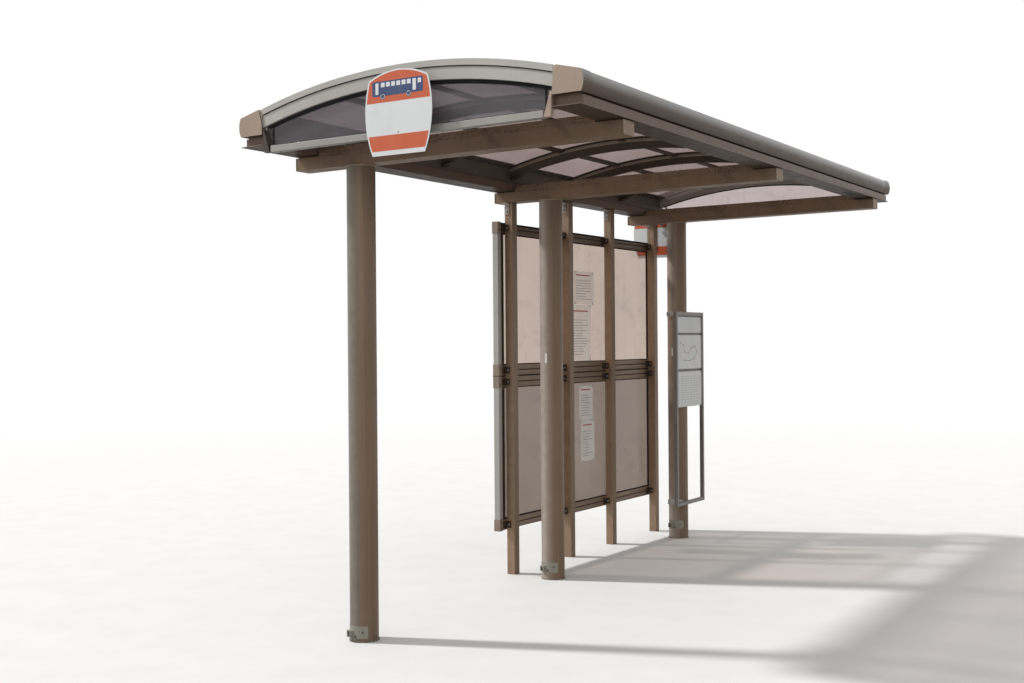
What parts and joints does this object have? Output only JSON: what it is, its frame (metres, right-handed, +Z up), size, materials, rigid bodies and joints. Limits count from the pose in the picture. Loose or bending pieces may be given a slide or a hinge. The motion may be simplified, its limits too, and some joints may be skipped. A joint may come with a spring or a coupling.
{
  "type": "bus shelter",
  "caption": "Bus shelter: round columns, cross beams, a cantilever arched roof of smoked sheets, a railed screen along one bay, sign plates and a route board.",
  "frame": {"origin": "centre of the middle column's foot, on the ground", "axes": "+X along the shelter away from the end with the near sign, +Y toward the road and the wall, +Z up"},
  "size_m": [4.782, 2.1477, 2.8725],
  "materials": {
    "bronze": "satin bronze anodised",
    "light_bronze": "satin light bronze anodised",
    "fittings": "dull galvanised and stainless steel",
    "smoked_sheet": "smoked translucent polycarbonate",
    "sign_plate": "painted sheet, plain colour bands",
    "board_face": "white board with plain paper sheets"
  },
  "bodies": {
    "root": {"column_near": "bronze", "column_middle": "bronze", "column_far": "bronze", "cover_near": "light_bronze", "cover_middle": "light_bronze", "cover_far": "light_bronze", "beam_near": "bronze", "beam_middle": "bronze", "beam_far": "bronze", "gutter_road": "bronze", "gutter_walk": "bronze", "fascia_road": "bronze", "fascia_walk": "bronze", "caps_near": "light_bronze", "caps_far": "light_bronze", "gable_arch_near": "light_bronze", "gable_arch_far": "light_bronze", "gable_frame_near": "light_bronze", "gable_frame_far": "light_bronze", "gable_panel_near": "smoked_sheet", "gable_panel_far": "smoked_sheet", "ribs": "bronze", "purlins": "bronze", "sheet_road": "smoked_sheet", "sheet_middle": "smoked_sheet", "sheet_walk": "smoked_sheet", "post_1": "bronze", "post_2": "bronze", "post_3": "bronze", "post_4": "bronze", "post_brackets": "fittings", "rail_top": "bronze", "rail_middle": "bronze", "rail_bottom": "bronze", "rail_clamps": "bronze", "stile_near": "light_bronze", "stile_far": "light_bronze", "panel_upper": "smoked_sheet", "panel_lower": "smoked_sheet", "sign_near": "sign_plate", "sign_far": "sign_plate", "sign_arms": "fittings", "board_frame": "fittings", "board_bands": "fittings", "boards": "board_face"}
  },
  "joints": []
}
